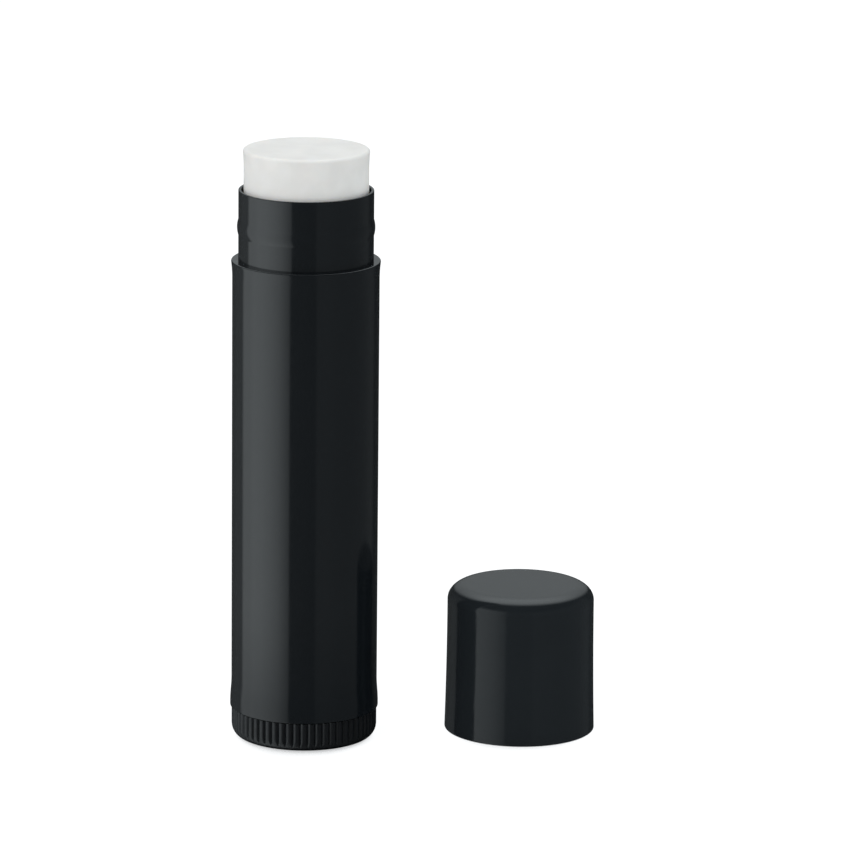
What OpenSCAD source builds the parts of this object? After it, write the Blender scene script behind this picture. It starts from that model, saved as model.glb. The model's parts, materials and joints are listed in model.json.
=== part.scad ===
// Push-up lip balm stick, standing open with its cap beside it.
// Millimetres. +Z is up, the tube's axis is the Z axis and the foot of the
// twist wheel stands on z = 0. The balm is shown raised a little.
// Turning the wheel counter-clockwise, seen from above, raises the balm.

/* [Barrel] */
// Diameter of the plain bore that the elevator runs in
bore_d = 13.6; // [12.8:0.1:14.6]
// Wall of the barrel at its straight label panel
panel_wall = 1.06; // [0.9:0.02:1.4]
// Height of the barrel from its lower rim to the shoulder
body_h = 49.15; // [46:0.05:56]
// How far the lower rim stands out from the label panel
foot_flare_t = 0.14; // [0.06:0.02:0.3]
// Height over which the lower rim fades into the label panel
foot_flare_h = 2.8; // [1.5:0.1:5]
// Height of the band at the lower rim that keeps its full diameter
foot_band_h = 0.35; // [0.3:0.05:0.8]
// How far the shoulder stands out from the label panel
shoulder_flare_t = 0.12; // [0.06:0.02:0.3]
// Height over which the shoulder fades into the label panel
shoulder_flare_h = 1.8; // [1:0.1:4]
// Rounding of the shoulder and of the lower rim
edge_r = 0.16; // [0.1:0.02:0.28]

/* [Neck] */
// Wall of the neck, outside the bore
neck_wall = 0.42; // [0.36:0.02:0.6]
// Height of the neck from the shoulder to the rim
neck_h = 7.6; // [6.4:0.1:9]
// Height of the middle of the cap's snap bead above the shoulder
bead_up = 3.55; // [2.4:0.05:4.4]
// Height of the snap bead
bead_h = 1.7; // [1:0.1:2]
// How far the snap bead stands out from the neck
bead_t = 0.14; // [0.08:0.01:0.2]
// Widening of the bore at the rim
mouth_t = 0.08; // [0.04:0.01:0.1]
// Depth of the widened mouth
mouth_h = 0.7; // [0.4:0.1:1.5]
// Rounding of the rim's two edges
lip_r = 0.11; // [0.04:0.01:0.12]

/* [Key ribs and snap groove] */
// Number of ribs in the bore that keep the elevator from turning
rib_n = 4; // [2:1:6]
// Width of a key rib
rib_w = 0.8; // [0.5:0.1:1.2]
// How far a key rib stands into the bore
rib_t = 0.35; // [0.2:0.05:0.45]
// Drop from the shoulder to the top of the key ribs
rib_drop = 2.35; // [1.5:0.05:4]
// Height of the snap groove's middle above the lower rim
groove_up = 3.4; // [2.6:0.1:4.2]
// Depth of the snap groove in the bore
groove_t = 0.3; // [0.2:0.02:0.4]
// Height of the snap groove where it opens into the bore
groove_h = 1.5; // [1.3:0.1:2]

/* [Twist wheel] */
// Diameter of the wheel over its ribs
wheel_d = 15.68; // [15.2:0.02:16.2]
// Height of the wheel
wheel_h = 3.2; // [2.6:0.1:5]
// Number of ribs round the wheel
knurl_n = 60; // [36:1:72]
// Depth of the grooves between the wheel's ribs
knurl_t = 0.2; // [0.1:0.02:0.3]
// Width of the rounding at the wheel's foot, measured inwards
foot_round_w = 1.04; // [0.5:0.02:1.4]
// Height of the rounding at the wheel's foot
foot_round_h = 1.3; // [0.6:0.1:1.8]
// Depth of the ring-shaped recess under the wheel
recess_h = 1.7; // [1:0.1:2]
// Diameter of the flat boss in the middle of the recess
boss_d = 5.2; // [4:0.1:7]
// Width of the flat ring that the wheel stands on
foot_w = 1.1; // [0.8:0.1:1.8]
// Height of the plug collar above the wheel
collar_h = 5.5; // [4.6:0.1:7]
// Wall of the plug collar
collar_wall = 0.9; // [0.7:0.05:1.4]
// How far the collar's snap bead stands out
snap_t = 0.22; // [0.16:0.02:0.3]
// Height of the collar's snap bead
snap_h = 0.9; // [0.6:0.1:1]

/* [Spindle] */
// Diameter of the spindle's core
core_d = 3.2; // [2.6:0.1:3.6]
// Height of the thread above the core
thread_t = 0.7; // [0.5:0.05:0.9]
// Rise of the balm in one turn of the wheel
lead = 3; // [2.4:0.1:4]
// Width of the thread at its crest
thread_crest_w = 0.84; // [0.5:0.02:1]
// Width of the thread at the core
thread_root_w = 1.3; // [1:0.05:1.5]
// Drop from the neck's rim to the spindle's tip
tip_drop = 7.25; // [5:0.05:12]

/* [Elevator] */
// Height of the elevator's skirt
skirt_h = 5.2; // [4:0.1:7]
// Wall of the skirt
skirt_wall = 0.75; // [0.65:0.05:1]
// Thickness of the elevator's floor
floor_t = 1.2; // [0.8:0.1:1.6]
// Outer diameter of the threaded hub
hub_d = 6.8; // [6.4:0.1:8]
// Height of the threaded hub
hub_h = 7; // [6:0.1:9]
// Number of webs that anchor the balm between hub and skirt
web_n = 4; // [2:1:6]
// Thickness of a web
web_w = 0.8; // [0.5:0.05:1.2]
// Height of a web above the floor
web_h = 2.6; // [1.5:0.1:3.2]

/* [Balm] */
// How far the balm stands above its parked place
raise = 5; // [0:0.5:20]
// Depth of the parked balm's top below the rim
park_depth = 0.6; // [0.2:0.1:2]
// Radial gap between the balm and the bore
balm_gap = 0.14; // [0.1:0.01:0.3]
// How far the balm's poured lip stands out at its top
balm_lip_t = 0.09; // [0:0.01:0.09]
// Height over which the lip fades
balm_lip_h = 1.7; // [1:0.1:3]
// Rounding of the balm's top edge
balm_edge_r = 0.3; // [0.1:0.05:0.8]

/* [Cap] */
// Height of the cap
cap_h = 16.1; // [14.5:0.05:19]
// Wall of the cap at its mouth
cap_wall = 0.82; // [0.7:0.01:1.2]
// Loss of outer radius from the cap's mouth to its crown
cap_draft = 0.2; // [0:0.01:0.3]
// Thickness of the cap's closed end
cap_top_t = 1.3; // [1:0.1:2]
// Width of the rounding at the cap's crown, measured inwards
crown_w = 2.1; // [1:0.1:2.6]
// Height of the rounding at the cap's crown
crown_h = 1.75; // [1:0.05:2.2]
// Length of the straight bore inside the cap, from its mouth
cap_bore_h = 9; // [8:0.1:11]
// Place of the cap's axis to the right of the tube
cap_x = 23.45; // [18:0.05:40]
// Place of the cap's axis behind the tube
cap_y = 2.88; // [-10:0.02:20]

/* [Clearances] */
// Running gap between the wheel and the barrel's lower rim
wheel_gap = 0.1; // [0.05:0.01:0.25]
// Radial running gap of the collar and the elevator in the bore
run_gap = 0.08; // [0.05:0.01:0.1]
// Gap on each side of a key rib
key_gap = 0.1; // [0.08:0.01:0.2]
// Gap all round the thread
thread_gap = 0.12; // [0.08:0.01:0.15]
// Gap between the parked elevator and the collar
park_gap = 0.4; // [0.3:0.05:1]
// Gap between the balm and the spindle's crest
wax_spindle_gap = 0.4; // [0.3:0.05:0.8]
// Gap between the balm and the elevator that carries it
wax_seat_gap = 0.03; // [0.02:0.01:0.06]
// Radial gap between the cap and the neck
cap_gap = 0.1; // [0.06:0.01:0.14]

/* [Hidden] */
$fn = 96;

// Overrun of every cut past the face that it leaves
over = 0.5;
// Bite of a rib, web or thread into the piece that carries it
bite = 0.3;
// Steps of a rounded corner, of a faded edge and of one turn of thread
corner_steps = 5;
fade_steps = 6;
turn_steps = 24;

// Heights of the assembled tube
low_z = wheel_h + wheel_gap;
shoulder_z = low_z + body_h;
rim_z = shoulder_z + neck_h;
collar_z = wheel_h + collar_h;
tip_z = rim_z - tip_drop;
lift_z = collar_z + park_gap + raise;
hub_z = lift_z + hub_h;
skirt_z = lift_z + skirt_h;
balm_z = rim_z - park_depth + raise;
rib_low_z = collar_z + wheel_gap;
rib_top_z = shoulder_z - rib_drop;
groove_z = low_z + groove_up;

// Radii of the tube, from the bore outwards
bore_r = bore_d / 2;
panel_r = bore_r + panel_wall;
foot_r = panel_r + foot_flare_t;
shoulder_r = panel_r + shoulder_flare_t;
neck_r = bore_r + neck_wall;
mouth_r = bore_r + mouth_t;

// Lead-in chamfers of the bore, the collar, the cap and the spindle's tip
lead_in = 0.25;
// Slope of the snap groove's and snap bead's flanks, height over depth
flank_share = 0.8;

// Twist wheel, collar and spindle
wheel_r = wheel_d / 2;
knurl_r = wheel_r - knurl_t;
foot_out_r = wheel_r - foot_round_w;
foot_in_r = foot_out_r - foot_w;
// How far the foot's rounding runs out past the ribs, so that it meets them at a slant
round_run = 0.05;
// Shares of one knurl pitch taken by a crest and by each flank
crest_share = 0.36;
slope_share = 0.18;
collar_r = bore_r - run_gap;
core_r = core_d / 2;
thread_r = core_r + thread_t;
// Swelling of the spindle where it leaves the wheel
root_swell = 0.8;

// Elevator, balm and cap
skirt_r = bore_r - run_gap;
cup_r = skirt_r - skirt_wall;
hub_r = hub_d / 2;
key_r = bore_r - rib_t - key_gap;
balm_r = bore_r - balm_gap;
balm_hole_r = thread_r + wax_spindle_gap;
balm_hole_z = tip_z + raise + wax_spindle_gap;
balm_key_r = key_r - wax_seat_gap;
cap_bore_r = neck_r + cap_gap;
cap_mouth_r = cap_bore_r + cap_wall;
cap_crown_r = cap_mouth_r - cap_draft;
cap_ceiling_z = cap_h - cap_top_t;
// Narrowing of the cap's inside above its straight bore
cap_narrow = 0.25;
// Rounding of the corner between the cap's wall and its closed end, inside
cap_corner_r = 0.8;
// Rounding of the cap's mouth, outside
cap_lip_r = 0.12;
// Extra height of the cap's snap groove over the neck's bead
cap_groove_slack = 0.3;

// Points of a rounded corner: an ellipse's arc of radii w and h about centre
function corner(centre, w, h, from, to) =
    [for (i = [0 : corner_steps])
        let (a = from + (to - from) * i / corner_steps)
        centre + [w * cos(a), h * sin(a)]];

// Points of a low bead of height h that stands t out of a wall at radius r
function bead(r, mid_z, h, t) =
    let (big_r = (h * h / 4 + t * t) / (2 * t), half = asin(h / 2 / big_r))
    [for (i = [-corner_steps : corner_steps])
        let (a = half * i / corner_steps)
        [r + t - big_r + big_r * cos(a), mid_z + big_r * sin(a)]];

// Outline of the barrel's outside, from its lower rim up to the neck's rim
function barrel_outside() = concat(
    corner([foot_r - edge_r, low_z + edge_r], edge_r, edge_r, -90, 0),
    [for (i = [0 : fade_steps])
        let (s = i / fade_steps)
        [panel_r + foot_flare_t * (1 + cos(180 * s)) / 2,
         low_z + foot_band_h + foot_flare_h * s]],
    [for (i = [0 : fade_steps - 1])
        let (s = i / fade_steps)
        [panel_r + shoulder_flare_t * s * s,
         shoulder_z - edge_r - shoulder_flare_h * (1 - s)]],
    corner([shoulder_r - edge_r, shoulder_z - edge_r], edge_r, edge_r, 0, 90),
    [[neck_r, shoulder_z]],
    bead(neck_r, shoulder_z + bead_up, bead_h, bead_t),
    corner([neck_r - lip_r, rim_z - lip_r], lip_r, lip_r, 0, 90));

// Outline of the barrel's inside, from the neck's rim down to its lower rim
function barrel_inside() = concat(
    corner([mouth_r + lip_r, rim_z - lip_r], lip_r, lip_r, 90, 180),
    [[bore_r, rim_z - mouth_h],
     [bore_r, groove_z + groove_h / 2],
     [bore_r + groove_t, groove_z + groove_h / 2 - groove_t * flank_share],
     [bore_r + groove_t, groove_z - groove_h / 2 + groove_t * flank_share],
     [bore_r, groove_z - groove_h / 2],
     [bore_r, low_z + lead_in],
     [bore_r + lead_in, low_z]]);

// A bar that runs outwards along +X from radius r0 to r1, between two heights
module bar(r0, r1, w, z0, z1) {
    translate([r0, -w / 2, z0])
        cube([r1 - r0, w, z1 - z0]);
}

// Copies of the children turned evenly about the tube's axis
module around(n, from = 0) {
    for (i = [0 : n - 1])
        rotate([0, 0, from + i * 360 / n])
            children();
}

// The tube: flared rims, label panel, neck with its snap bead, bore and ribs
module barrel() {
    color("#1b1f21") union() {
        rotate_extrude()
            polygon(concat(barrel_outside(), barrel_inside()));
        around(rib_n)
            bar(bore_r - rib_t, bore_r + bite, rib_w, rib_low_z, rib_top_z);
    }
}

// One section of the thread at height z, drawn at share k of its full height,
// with a gap all round. The thread is left-handed, so that the balm rises as
// the wheel turns counter-clockwise seen from above.
function thread_section(z, k, gap) =
    let (
        angle = -360 * z / lead,
        in_r = core_r - bite,
        out_r = in_r + (thread_r + gap - in_r) * k,
        slope = (thread_root_w - thread_crest_w) / 2 / thread_t,
        crest = thread_crest_w / 2 + gap,
        out_w = crest + slope * (thread_r + gap - out_r),
        in_w = crest + slope * (thread_r + gap - in_r),
        along = [cos(angle), sin(angle)])
    [concat(in_r * along, z - in_w), concat(out_r * along, z - out_w),
     concat(out_r * along, z + out_w), concat(in_r * along, z + in_w)];

// A helical ridge from z0 to z1. It grows out of the core over its first and
// last fade_turns turns; with fade_turns = 0 it has its full height all along.
module thread(z0, z1, gap, fade_turns) {
    turns = (z1 - z0) / lead;
    n = ceil(turns * turn_steps);
    hidden_share = 0.15;
    sections = [for (i = [0 : n])
        let (
            from_end = min(i, n - i) / turn_steps,
            k = fade_turns == 0 ? 1 : min(1, hidden_share + from_end / fade_turns))
        thread_section(z0 + (z1 - z0) * i / n, k, gap)];
    sides = [for (i = [0 : n - 1], j = [0 : 3])
        let (a = 4 * i + j, b = 4 * i + (j + 1) % 4, c = a + 4, d = b + 4)
        each [[a, d, b], [a, c, d]]];
    last = 4 * n;
    ends = [[0, 2, 3], [0, 1, 2], [last, last + 2, last + 1], [last, last + 3, last + 2]];
    polyhedron(points = [for (s = sections) each s], faces = concat(sides, ends), convexity = 10);
}

// Plan of the wheel's ribs: crests and grooves joined by short slopes
module knurl_plan() {
    pitch = 360 / knurl_n;
    polygon([for (i = [0 : knurl_n - 1])
        each [for (p = [[0, wheel_r], [crest_share, wheel_r],
                        [crest_share + slope_share, knurl_r], [1 - slope_share, knurl_r]])
            let (a = (i + p[0] - crest_share / 2) * pitch)
            p[1] * [cos(a), sin(a)]]]);
}

// The ribbed wheel with its rounded foot and the recess under it
module wheel() {
    difference() {
        intersection() {
            rotate_extrude()
                polygon(concat(
                    [[0, 0]],
                    corner([foot_out_r, foot_round_h], foot_round_w + round_run,
                        foot_round_h, -90, 0),
                    [[wheel_r + round_run, wheel_h + over], [0, wheel_h + over]]));
            linear_extrude(height = wheel_h)
                knurl_plan();
        }
        translate([0, 0, -over])
            difference() {
                cylinder(r = foot_in_r, h = recess_h + over);
                cylinder(d = boss_d, h = recess_h + over);
            }
    }
}

// The collar that plugs the barrel, with the snap bead that holds it there
module collar() {
    in_r = collar_r - collar_wall;
    snap_z = groove_z;
    rotate_extrude()
        polygon([
            [in_r, wheel_h - bite], [collar_r, wheel_h - bite],
            [collar_r, snap_z - snap_h / 2],
            [collar_r + snap_t, snap_z - snap_h / 2 + snap_t * flank_share],
            [collar_r + snap_t, snap_z + snap_h / 2 - snap_t * flank_share],
            [collar_r, snap_z + snap_h / 2],
            [collar_r, collar_z - lead_in], [collar_r - lead_in, collar_z], [in_r, collar_z]]);
}

// The spindle: a plain core with a swelling root, a chamfered tip and a thread
module spindle() {
    thread_z0 = collar_z + lead_in + thread_root_w / 2;
    thread_z1 = tip_z - lead_in - thread_root_w;
    rotate_extrude()
        polygon([
            [0, wheel_h - bite], [core_r + root_swell, wheel_h - bite],
            [core_r + root_swell, wheel_h], [core_r, wheel_h + 2 * root_swell],
            [core_r, tip_z - lead_in], [core_r - lead_in, tip_z], [0, tip_z]]);
    thread(thread_z0, thread_z1, 0, 1 / 3);
}

// Wheel, collar and spindle are one moulding
module twist_base() {
    color("#1b1f21") union() {
        wheel();
        collar();
        spindle();
    }
}

// The cup that carries the balm, keyed to the barrel and threaded inside
module elevator() {
    color("#24292b") difference() {
        union() {
            rotate_extrude()
                polygon([
                    [0, lift_z], [skirt_r - lead_in, lift_z], [skirt_r, lift_z + lead_in],
                    [skirt_r, skirt_z], [cup_r, skirt_z], [cup_r, lift_z + floor_t],
                    [hub_r, lift_z + floor_t], [hub_r, hub_z], [0, hub_z]]);
            around(web_n, 180 / web_n)
                bar(hub_r - bite, cup_r + bite, web_w, lift_z + floor_t - bite,
                    lift_z + floor_t + web_h);
        }
        translate([0, 0, lift_z - over])
            cylinder(r = core_r + thread_gap, h = hub_h + 2 * over);
        thread(lift_z - lead, hub_z + lead, thread_gap, 0);
        around(rib_n)
            bar(key_r, skirt_r + over, rib_w + 2 * key_gap, lift_z - over, skirt_z + over);
    }
}

// The stick of balm, moulded into the elevator's cup, round its hub and webs
module balm() {
    seat_z = lift_z + floor_t + wax_seat_gap;
    step_z = skirt_z + wax_seat_gap;
    color("#e6e7e4") difference() {
        rotate_extrude()
            polygon(concat(
                [[hub_r + wax_seat_gap, seat_z], [cup_r - wax_seat_gap, seat_z],
                 [cup_r - wax_seat_gap, step_z], [balm_r, step_z]],
                [for (i = [0 : fade_steps - 1])
                    let (s = i / fade_steps)
                    [balm_r + balm_lip_t * s * s,
                     balm_z - balm_edge_r - balm_lip_h * (1 - s)]],
                corner([balm_r + balm_lip_t - balm_edge_r, balm_z - balm_edge_r],
                    balm_edge_r, balm_edge_r, 0, 90),
                [[0, balm_z], [0, balm_hole_z], [balm_hole_r, balm_hole_z],
                 [balm_hole_r, hub_z + wax_seat_gap], [hub_r + wax_seat_gap, hub_z + wax_seat_gap]]));
        around(rib_n)
            bar(balm_key_r, bore_r + over, rib_w + 2 * key_gap, seat_z - over,
                rib_top_z + raise + wax_spindle_gap);
        around(web_n, 180 / web_n)
            bar(hub_r, cup_r, web_w + 2 * wax_seat_gap, seat_z - over,
                lift_z + floor_t + web_h + wax_seat_gap);
    }
}

// The cap: a drafted cup that stands on its mouth, with a groove for the bead.
// Its outside narrows fastest just above the mouth.
module cap() {
    crown_z = cap_h - crown_h;
    snap_z = bead_up;
    snap_r = neck_r + bead_t + cap_gap;
    snap_half = (bead_h + cap_groove_slack) / 2;
    inner_r = cap_bore_r - cap_narrow;
    color("#1b1f21") translate([cap_x, cap_y, 0])
        rotate_extrude()
            polygon(concat(
                [[cap_bore_r + lead_in, 0]],
                corner([cap_mouth_r - cap_lip_r, cap_lip_r], cap_lip_r, cap_lip_r, -90, 0),
                [for (i = [1 : fade_steps - 1])
                    let (s = 1 - i / fade_steps)
                    [cap_crown_r + cap_draft * s * s, crown_z + (cap_lip_r - crown_z) * s]],
                corner([cap_crown_r - crown_w, crown_z], crown_w, crown_h, 0, 90),
                [[0, cap_h], [0, cap_ceiling_z]],
                corner([inner_r - cap_corner_r, cap_ceiling_z - cap_corner_r],
                    cap_corner_r, cap_corner_r, 90, 0),
                [[cap_bore_r, cap_bore_h],
                 [cap_bore_r, snap_z + snap_half],
                 [snap_r, snap_z + snap_half - (snap_r - cap_bore_r) / flank_share],
                 [snap_r, snap_z - snap_half + (snap_r - cap_bore_r) / flank_share],
                 [cap_bore_r, snap_z - snap_half],
                 [cap_bore_r, lead_in]]));
}

barrel();
twist_base();
elevator();
balm();
cap();
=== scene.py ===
# %% [markdown]
# A twist-up lip balm stick, standing open with its cap beside it.
#
# The stick has five real pieces: a glossy barrel with a recessed neck, a ribbed twist wheel whose
# moulding carries a collar and a threaded spindle, a keyed elevator on that thread, the stick of
# balm, and the cap. Nearly all of them are turned forms: an outline taken round an axis. So the
# lesson is mostly about one Geometry Nodes tree that turns an outline, and about the light that
# makes a black glossy cylinder readable.
#
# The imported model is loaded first. It says where every piece is and how the pieces move, and the
# lesson only gives each piece a finer mesh and a finish.

# %% Load the frame
import json
import math

import bmesh
import bpy
from mathutils import Matrix, Vector


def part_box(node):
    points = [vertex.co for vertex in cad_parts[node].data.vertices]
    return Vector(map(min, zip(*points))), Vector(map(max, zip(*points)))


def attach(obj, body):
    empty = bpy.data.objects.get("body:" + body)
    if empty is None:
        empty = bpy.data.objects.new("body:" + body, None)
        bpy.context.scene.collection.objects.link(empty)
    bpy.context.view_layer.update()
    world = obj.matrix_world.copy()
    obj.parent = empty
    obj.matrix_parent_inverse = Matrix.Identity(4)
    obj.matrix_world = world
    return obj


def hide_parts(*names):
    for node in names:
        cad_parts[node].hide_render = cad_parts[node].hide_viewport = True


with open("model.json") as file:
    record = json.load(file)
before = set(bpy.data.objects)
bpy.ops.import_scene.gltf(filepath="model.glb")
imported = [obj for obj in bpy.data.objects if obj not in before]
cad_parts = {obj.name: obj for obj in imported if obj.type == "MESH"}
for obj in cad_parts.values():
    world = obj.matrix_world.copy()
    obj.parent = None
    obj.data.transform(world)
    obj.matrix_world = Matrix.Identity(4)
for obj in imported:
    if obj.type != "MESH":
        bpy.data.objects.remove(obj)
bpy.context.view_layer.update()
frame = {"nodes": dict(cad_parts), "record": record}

MM = 0.001
mounts = {mount["name"]: mount for mount in frame["record"]["mounts"]}
print("nodes:", sorted(frame["nodes"]))

# %% [markdown]
# Every size below is in millimetres. Where the frame knows a size, it is read from there: the
# outer corners of each node, and the radii that the mounts state. The rest are the small sizes of
# a moulding, such as a rounding or a wall, and each has a name.

# %% Sizes read from the frame


def corners(node):
    """Lowest and highest corner of a node at rest, in millimetres."""
    low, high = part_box(node)
    return low / MM, high / MM


def mount_radius(name):
    """Radius that a mount states, in millimetres."""
    return mounts[name]["dims"]["r_mm"]


barrel_low, barrel_high = corners("barrel")
wheel_high = corners("twist_base")[1]
lift_low, lift_high = corners("elevator")
balm_high = corners("balm")[1]
cap_low, cap_high = corners("cap")

FOOT_R = barrel_high.x
PANEL_R = mount_radius("label_panel")
NECK_R = mount_radius("cap_neck")
CAP_BORE_R = mount_radius("cap_socket")
cap_axis = (cap_low + cap_high) / 2
print(f"barrel {barrel_high.z - barrel_low.z:.2f} high, {2 * FOOT_R:.2f} across")
print(f"cap {cap_high.z:.2f} high, axis at {cap_axis.x:.2f}, {cap_axis.y:.2f}")

# %% [markdown]
# The camera comes early, because it shows from where the piece is judged. It stands in front, a
# little above the stick, with a long lens, as for a catalogue picture. A long lens from 65 cm keeps
# the tube's sides nearly parallel. The small roll is the one that the photograph has.

# %% Camera
CAMERA_PLACE = Vector((0, -0.62405, 0.18474))
CAMERA_AIM = Vector((0.01283, 0, 0.0343675))
CAMERA_LENS = 253.684
SENSOR_WIDTH = 36
CAMERA_ROLL = math.radians(0.54236)


def make_camera():
    """A long-lensed camera in front of the stick, a little above it."""
    data = bpy.data.cameras.new("camera")
    data.lens = CAMERA_LENS
    data.sensor_width = SENSOR_WIDTH
    data.clip_start = 0.01
    data.clip_end = 20
    camera = bpy.data.objects.new("camera", data)
    camera.location = CAMERA_PLACE
    camera.rotation_mode = "QUATERNION"
    level = (CAMERA_AIM - CAMERA_PLACE).to_track_quat("-Z", "Y")
    roll = Matrix.Rotation(CAMERA_ROLL, 3, "Z").to_quaternion()
    camera.rotation_quaternion = level @ roll
    bpy.context.scene.collection.objects.link(camera)
    return camera


bpy.context.scene.camera = make_camera()
bpy.context.scene.view_settings.view_transform = "Standard"
print("camera is", round((CAMERA_AIM - CAMERA_PLACE).length, 3), "m away")

# %% [markdown]
# Node trees, for shapes and for finishes alike, are easier to read when a few small helpers do the
# wiring. One adds a node, and one feeds a socket from another socket or from a plain value. The
# others do a step of arithmetic, take a vector apart or build one, and blend numbers or colours.

# %% Wiring helpers


def add(tree, kind, **settings):
    """A new node of one kind, with its settings."""
    node = tree.nodes.new(kind)
    for name, value in settings.items():
        setattr(node, name, value)
    return node


def feed(tree, socket, source):
    """Links a socket to another socket, or gives it a plain value or colour."""
    if isinstance(source, bpy.types.NodeSocket):
        tree.links.new(source, socket)
    elif socket.type == "RGBA":
        socket.default_value = (*source, 1)
    else:
        socket.default_value = source


def fed(tree, kind, values, **settings):
    """A new node whose first sockets are fed in turn."""
    node = add(tree, kind, **settings)
    for socket, value in zip(node.inputs, values):
        feed(tree, socket, value)
    return node


def calc(tree, operation, *values):
    """One step of arithmetic in a node tree."""
    return fed(tree, "ShaderNodeMath", values, operation=operation).outputs[0]


def whole(tree, operation, *values):
    """One step of arithmetic with whole numbers in a geometry tree."""
    return fed(tree, "FunctionNodeIntegerMath", values, operation=operation).outputs[0]


def vector_calc(tree, operation, *values):
    """One step of arithmetic with vectors."""
    return fed(tree, "ShaderNodeVectorMath", values, operation=operation).outputs[0]


def parts(tree, source):
    """The X, Y and Z of a vector."""
    return fed(tree, "ShaderNodeSeparateXYZ", [source]).outputs


def vector(tree, x=0.0, y=0.0, z=0.0):
    """A vector from its X, Y and Z."""
    return fed(tree, "ShaderNodeCombineXYZ", (x, y, z)).outputs[0]


def smooth_step(tree, value, start, end, low=0.0, high=1.0):
    """A soft ramp from low to high while the value goes from start to end."""
    values = (value, start, end, low, high)
    node = fed(tree, "ShaderNodeMapRange", values, interpolation_type="SMOOTHSTEP")
    return node.outputs[0]


def tint(tree, factor, dark, light):
    """A colour that goes from dark to light with a factor."""
    node = fed(tree, "ShaderNodeMix", [factor], data_type="RGBA")
    feed(tree, node.inputs[6], dark)
    feed(tree, node.inputs[7], light)
    return node.outputs[2]


print("helpers: add, feed, fed, calc, whole, vector_calc, parts, vector, smooth_step, tint")

# %% [markdown]
# Light comes before the materials, because a black glossy cylinder has almost no colour of its own:
# what the eye reads is the studio mirrored in it. A mirror-like cylinder doubles the angle, so a
# soft box between 25 and 115 degrees to the left shows as a strip on the left half of the barrel.
#
# The studio could be built from panels. Here the world does it: its shader asks for the direction
# of a ray and answers with the light of the studio there. Only glossy rays see this studio. Camera
# and transmission rays see plain white, and diffuse rays an even soft light.
#
# One table gives the light on the level of the stick by azimuth, 0 towards the camera and negative
# to the left. A second table gives the light from above by height, which the cap's top mirrors. It
# has to end where the cap's rounding turns down. Halfway between a mirrored ray and the way to the
# camera lies the direction in which the surface faces, so the height of that direction tells the
# tilt, and the light fades out at one tilt all round the rounding.
#
# Rays that come by way of the table get none of the light from above, or the undersides of the
# rims would shine. Other rays see the lights round the stick as bright as the table shows them.

# %% The studio that the gloss mirrors
AROUND_PEAK = 2.2
AROUND = [
    (-180, 0.04), (-150, 0.1), (-118, 0.33), (-113, 1.16), (-97, 1.6), (-88, 1.95), (-72, 2.12),
    (-57, 1.95), (-43, 1.57), (-25.3, 0.73), (-24.0, 0.17), (16, 0.14), (18, 0.25), (34, 0.25),
    (54, 0.22), (100, 0.18), (118, 0.17), (128, 0.14), (140, 0.04), (180, 0.03)]
AROUND_TOP = (0.35, 0.7)
TABLE_SHARE = 0.81
ABOVE_PEAK = 4.4
ABOVE = [
    (-0.08, 0.0), (0.0, 0.2), (0.17, 0.35), (0.24, 0.46), (0.4, 0.66), (0.55, 1.1), (0.69, 1.9),
    (0.8, 2.9), (0.9, 3.7), (1.0, 4.4)]
TO_CAMERA = (-0.036, -0.965, 0.26)
LIT_TILT = (0.73, 0.87)
ONE_BOUNCE = 1.5
GLOSS_TINT = (0.93, 1.0, 1.02)
AMBIENT = 0.47


def light_table(tree, position, stops, span, peak):
    """Looks a position up in a table of lights: a ramp from the span's start to its end."""
    start, end = span
    share = calc(tree, "DIVIDE", calc(tree, "SUBTRACT", position, start), end - start)
    node = add(tree, "ShaderNodeValToRGB")
    ramp = node.color_ramp
    while len(ramp.elements) < len(stops):
        ramp.elements.new(0.5)
    for element, (place, light) in zip(ramp.elements, stops):
        element.position = (place - start) / (end - start)
        element.color = (light / peak,) * 3 + (1,)
    feed(tree, node.inputs[0], share)
    return calc(tree, "MULTIPLY", node.outputs["Color"], peak)


def make_world():
    """White for the camera, an even light for matt surfaces, a studio for glossy ones."""
    world = bpy.data.worlds.new("studio")
    bpy.context.scene.world = world
    world.use_nodes = True
    world.cycles.sampling_method = "NONE"
    tree = world.node_tree
    tree.nodes.clear()
    direction = add(tree, "ShaderNodeTexCoord").outputs["Generated"]
    x, y, z = parts(tree, direction)
    azimuth = calc(tree, "ARCTAN2", x, calc(tree, "MULTIPLY", y, -1.0))
    degrees = calc(tree, "DEGREES", azimuth)
    around = light_table(tree, degrees, AROUND, (-180, 180), AROUND_PEAK)
    path = add(tree, "ShaderNodeLightPath").outputs
    direct = calc(tree, "LESS_THAN", path["Glossy Depth"], ONE_BOUNCE)
    by_table = calc(tree, "SUBTRACT", 1.0, direct)
    low = calc(tree, "MAXIMUM", by_table, smooth_step(tree, z, *AROUND_TOP, TABLE_SHARE, 0.0))
    around = calc(tree, "MULTIPLY", around, low)
    above = light_table(tree, z, ABOVE, (-1, 1), ABOVE_PEAK)
    faces = vector_calc(tree, "NORMALIZE", vector_calc(tree, "ADD", direction, TO_CAMERA))
    above = calc(tree, "MULTIPLY", above, smooth_step(tree, parts(tree, faces)[2], *LIT_TILT))
    studio = calc(tree, "MAXIMUM", around, calc(tree, "MULTIPLY", above, direct))
    matt = smooth_step(tree, path["Is Diffuse Ray"], 0.0, 1.0, 1.0, AMBIENT)
    seen = fed(tree, "ShaderNodeMix", [path["Is Glossy Ray"]], data_type="FLOAT")
    feed(tree, seen.inputs[2], matt)
    feed(tree, seen.inputs[3], studio)
    colour = tint(tree, path["Is Glossy Ray"], (1, 1, 1), GLOSS_TINT)
    background = fed(tree, "ShaderNodeBackground", (colour, seen.outputs[0]))
    fed(tree, "ShaderNodeOutputWorld", background.outputs)
    return world


make_world()
print(len(AROUND), "lights round the stick,", len(ABOVE), "from above")

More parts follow.
